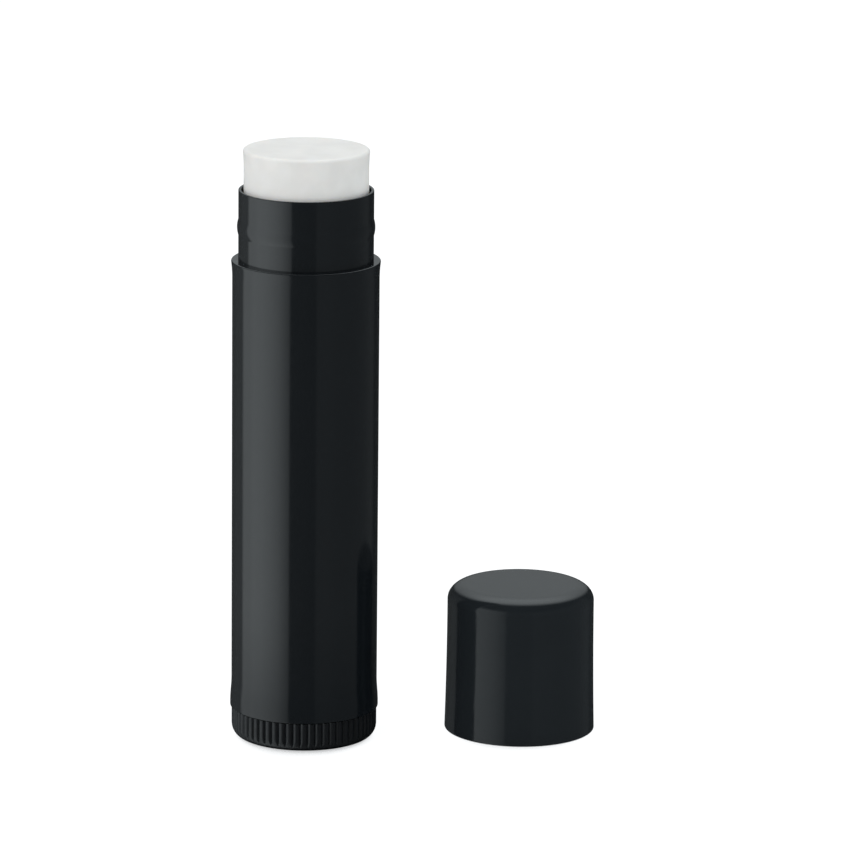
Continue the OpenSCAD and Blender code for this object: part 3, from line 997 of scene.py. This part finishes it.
def flute(obj):
    """Presses the grooves between the ribs into the wheel's side."""
    return through_tree(obj, fluted_side, {
        "Ribs": float(RIBS), "Crest": WHEEL_R * MM, "Dome": RIB_DOME * MM,
        "Groove": GROOVE_DEEP * MM, "Groove start": GROOVE_FROM, "Groove end": GROOVE_TO,
        "Finish": black_ribbed}, obj.name)


wheel = flute(turned("twist_wheel", wheel_outline(), RIBS * COLUMNS_PER_RIB, black_ribbed))
print("wheel:", len(wheel.data.vertices), "points")

# %% [markdown]
# The thread is the same turning tree with a lead. It is left-handed: seen from above, turning the
# wheel counter-clockwise lifts the balm. So it starts at the top and climbs down as its angle grows.
# Its angle at each height is the one that the model's elevator was cut for. The section is a
# trapezium with rounded crest, and its foot lies inside the core, where a union removes it.

# %% The thread
LEAD = 3.0
THREAD_RISE = 0.7
CREST_WIDE = 0.84
ROOT_WIDE = 1.3
CREST_R = 0.12
CREST_TURN = 75
THREAD_LOW = 9.6
THREAD_DROP = 1.55
THREAD_FADE = 1 / 3
SUNK = 0.3
STEPS_PER_TURN = 48


def thread_section(gap):
    """Closed section of the thread about its middle, grown by a gap all round."""
    slope = (ROOT_WIDE - CREST_WIDE) / 2 / THREAD_RISE
    crest_r = CORE_R + THREAD_RISE + gap
    crest = CREST_WIDE / 2 + gap
    root_r = CORE_R - SUNK
    root = crest + slope * (crest_r - root_r)
    upper = arc((crest_r - CREST_R, crest - CREST_R), CREST_R, CREST_R, 0, CREST_TURN,
                SMALL_STEPS)
    lower = [(r, -z) for r, z in reversed(upper)]
    return closed([(root_r, -root)] + lower + upper + [(root_r, root)])


def thread(low, high, gap, finish):
    """A left-handed thread between two heights, as a closed form."""
    turns = (high - low) / LEAD
    return through_tree(outline_object(thread_section(gap)), turned_form, {
        "Columns": math.ceil(turns * STEPS_PER_TURN), "Turns": turns,
        "Start": -math.tau * high / LEAD, "Base": high * MM, "Lead": -LEAD * MM,
        "Fade": THREAD_FADE, "Core": (CORE_R - SUNK) * MM, "Finish": finish}, "thread")


wheel = combined(wheel, thread(THREAD_LOW, tip_z - THREAD_DROP, 0, black_ribbed), "UNION")
hand_over(wheel, black_ribbed, "wheel", "twist_base")

# %% [markdown]
# The elevator is the cup that carries the balm. Its hub runs on the spindle's thread, notches in its
# skirt run on the barrel's key ribs, and four webs anchor the wax. The hub's thread is the spindle's
# own thread, a little larger all round, cut out of the hub.

# %% The elevator
SKIRT_HIGH = 5.2
SKIRT_WALL = 0.75
FLOOR_THICK = 1.2
HUB_R = 3.4
THREAD_GAP = 0.12
KEY_GAP = 0.1
WEBS = 4
WEB_WIDE = 0.8
WEB_HIGH = 2.6
OVERRUN = 1.0
ELEVATOR_COLUMNS = 144
lift_z = lift_low.z
hub_z = lift_high.z
skirt_z = lift_z + SKIRT_HIGH
cup_r = COLLAR_R - SKIRT_WALL
notch_r = BORE_R - KEY_RISE - KEY_GAP


def elevator_outline():
    """Outline of the cup and its hub, as a ring round the bore."""
    floor_z = lift_z + FLOOR_THICK
    bore = CORE_R + THREAD_GAP
    return closed([
        (bore, lift_z), (COLLAR_R - LEAD_IN, lift_z), (COLLAR_R, lift_z + LEAD_IN),
        (COLLAR_R, skirt_z), (cup_r, skirt_z), (cup_r, floor_z), (HUB_R, floor_z),
        (HUB_R, hub_z), (bore, hub_z)])


def make_elevator():
    """The cup with its webs, its threaded bore and its key notches."""
    cup = turned("elevator_cup", elevator_outline(), ELEVATOR_COLUMNS, black_inside)
    webs = bars(WEBS, (HUB_R - BITE, cup_r + BITE), WEB_WIDE, lift_z + FLOOR_THICK - BITE,
                lift_z + FLOOR_THICK + WEB_HIGH, black_inside, math.pi / WEBS)
    cup = combined(cup, webs, "UNION")
    notches = bars(KEYS, (notch_r, COLLAR_R + OVERRUN), KEY_WIDE + 2 * KEY_GAP,
                   lift_z - OVERRUN, skirt_z + OVERRUN, black_inside)
    cup = combined(cup, notches, "DIFFERENCE")
    return combined(cup, thread(lift_z - LEAD, hub_z + LEAD, THREAD_GAP, black_inside),
                    "DIFFERENCE")


elevator = make_elevator()
hand_over(elevator, black_inside, "carriage", "elevator")

# %% [markdown]
# The balm is poured into the barrel, so it carries the barrel's shape: a plain cylinder with four
# grooves where the key ribs stand, which show when it is wound up. Its top was the free surface, so
# it is flat with a small rounded edge and not quite even. A fourth tree lowers the points of the top
# by a slow noise, a few hundredths of a millimetre and never above the flat.

# %% A tree that settles the poured top
SETTLED_SHARE = 0.8
SETTLED_SKIN = 0.1 * MM
SETTLED_SCALE = 520.0


def settling_tree():
    """Lowers the points near the top by noise, less and less towards the edge."""
    tree, given, output = new_tree("poured_top", [
        ("Form", "Geometry"), ("Top", "Float"), ("Edge", "Float"), ("Depth", "Float"),
        ("Finish", "Material")])
    position = add(tree, "GeometryNodeInputPosition").outputs[0]
    x, y, z = parts(tree, position)
    flat = from_axis(tree, x, y)
    inner = calc(tree, "MULTIPLY", given["Edge"], SETTLED_SHARE)
    middle = smooth_step(tree, flat, given["Edge"], inner)
    skin = calc(tree, "SUBTRACT", given["Top"], SETTLED_SKIN)
    near_top = smooth_step(tree, z, skin, given["Top"])
    waves = add(tree, "ShaderNodeTexNoise")
    feed(tree, waves.inputs["Vector"], position)
    feed(tree, waves.inputs["Scale"], SETTLED_SCALE)
    feed(tree, waves.inputs["Detail"], 1.0)
    depth = calc(tree, "MULTIPLY", calc(tree, "MULTIPLY", middle, near_top), given["Depth"])
    down = calc(tree, "MULTIPLY", depth, calc(tree, "MULTIPLY", waves.outputs[0], -1.0))
    moved = add(tree, "GeometryNodeSetPosition")
    feed(tree, moved.inputs["Geometry"], given["Form"])
    feed(tree, moved.inputs["Offset"], vector(tree, z=down))
    finish_tree(tree, moved.outputs[0], given["Finish"], output)
    return tree


poured_top = settling_tree()
print("tree", poured_top.name, "has", len(poured_top.nodes), "nodes")

# %% The balm
BALM_GAP = 0.14
BALM_LIP = 0.09
BALM_LIP_HIGH = 1.7
BALM_EDGE = 0.3
SPINDLE_GAP = 0.4
SEAT_GAP = 0.03
RAISED = 5.0
TOP_RINGS = 24
SETTLED = 0.05
balm_z = balm_high.z
balm_r = BORE_R - BALM_GAP
hole_r = CORE_R + THREAD_RISE + SPINDLE_GAP
hole_z = tip_z + RAISED + SPINDLE_GAP
seat_z = lift_z + FLOOR_THICK + SEAT_GAP


def balm_outline():
    """Outline from the top of the spindle's hole, round the wax, to the middle of its top."""
    over_hub = hub_z + SEAT_GAP
    over_skirt = skirt_z + SEAT_GAP
    line = [(0, hole_z), (hole_r, hole_z), (hole_r, over_hub), (HUB_R + SEAT_GAP, over_hub),
            (HUB_R + SEAT_GAP, seat_z), (cup_r - SEAT_GAP, seat_z),
            (cup_r - SEAT_GAP, over_skirt), (balm_r, over_skirt)]
    edge_z = balm_z - BALM_EDGE
    lip_r = balm_r + BALM_LIP
    line += faded(balm_r, lip_r, edge_z - BALM_LIP_HIGH, edge_z, square)[:-1]
    line += arc((lip_r - BALM_EDGE, edge_z), BALM_EDGE, BALM_EDGE, 0, 90)
    flat_r = lip_r - BALM_EDGE
    line += [(flat_r * (1 - i / TOP_RINGS), balm_z) for i in range(1, TOP_RINGS + 1)]
    return line


def make_balm():
    """The wax with its settled top, the grooves of the key ribs and the slots of the webs."""
    wax_form = turned("balm_stick", balm_outline(), BARREL_COLUMNS, white_balm)
    wax_form = through_tree(wax_form, poured_top, {
        "Top": balm_z * MM, "Edge": (balm_r - BALM_EDGE) * MM, "Depth": SETTLED * MM,
        "Finish": white_balm}, wax_form.name)
    grooves = bars(KEYS, (notch_r - SEAT_GAP, BORE_R + OVERRUN), KEY_WIDE + 2 * KEY_GAP,
                   seat_z - OVERRUN, shoulder_z - KEY_DROP + RAISED + SPINDLE_GAP, white_balm)
    wax_form = combined(wax_form, grooves, "DIFFERENCE")
    slots = bars(WEBS, (HUB_R, cup_r), WEB_WIDE + 2 * SEAT_GAP, seat_z - OVERRUN,
                 lift_z + FLOOR_THICK + WEB_HIGH + SEAT_GAP, white_balm, math.pi / WEBS)
    return combined(wax_form, slots, "DIFFERENCE")


balm = make_balm()
hand_over(balm, white_balm, "carriage", "balm")

# %% [markdown]
# The cap is a cup with a rounded crown, which stands on its mouth beside the stick. Its side has a
# draft, and a curved one: it narrows fastest just above the mouth.
#
# Its top is not dead flat: a moulded lid is very slightly domed, and that slow curve makes its
# mirrored light change from back to front. The dome only takes height away at the edge, so the cap
# keeps its full height in the middle. Inside are the bore for the neck and the groove for its bead.

# %% The cap
CAP_MOUTH_R = (cap_high.x - cap_low.x) / 2
CAP_DRAFT = 0.2
CROWN_WIDE = 2.1
CROWN_HIGH = 1.75
CROWN_DOME = 0.06
DOME_RINGS = 12
CROWN_STEPS = 20
CAP_LIP = 0.12
CAP_TOP_THICK = 1.3
CAP_NARROW = 0.25
CAP_CORNER = 0.8
CAP_STRAIGHT = 9.0
CAP_SNAP_R = 7.46
CAP_SNAP_HALF = 1.0
CAP_SNAP_SLOPE = 0.175
cap_z = cap_high.z


def cap_outline():
    """Outline from the middle of the ceiling, down the inside, round the mouth and up the outside."""
    ceiling = cap_z - CAP_TOP_THICK
    inner = CAP_BORE_R - CAP_NARROW
    crown_r = CAP_MOUTH_R - CAP_DRAFT
    line = [(0, ceiling)]
    line += arc((inner - CAP_CORNER, ceiling - CAP_CORNER), CAP_CORNER, CAP_CORNER, 90, 0)
    low, high = BEAD_UP - CAP_SNAP_HALF, BEAD_UP + CAP_SNAP_HALF
    line += [(CAP_BORE_R, CAP_STRAIGHT), (CAP_BORE_R, high), (CAP_SNAP_R, high - CAP_SNAP_SLOPE),
             (CAP_SNAP_R, low + CAP_SNAP_SLOPE), (CAP_BORE_R, low), (CAP_BORE_R, LEAD_IN),
             (CAP_BORE_R + LEAD_IN, 0)]
    line += arc((CAP_MOUTH_R - CAP_LIP, CAP_LIP), CAP_LIP, CAP_LIP, -90, 0, LIP_STEPS)
    edge_r = crown_r - CROWN_WIDE
    crown_z = cap_z - CROWN_HIGH
    line += faded(CAP_MOUTH_R, crown_r, CAP_LIP, crown_z, easing)[1:-1]
    line += arc((edge_r, crown_z), CROWN_WIDE, CROWN_HIGH - CROWN_DOME, 0, 90, CROWN_STEPS)
    for i in range(1, DOME_RINGS + 1):
        share = 1 - i / DOME_RINGS
        line.append((edge_r * share, cap_z - CROWN_DOME * share * share))
    return line


cap = turned("cap_shell", cap_outline(), BARREL_COLUMNS, black_cap)
cap.data.transform(Matrix.Translation((cap_axis.x * MM, cap_axis.y * MM, 0)))
hand_over(cap, black_cap, "cap", "cap")
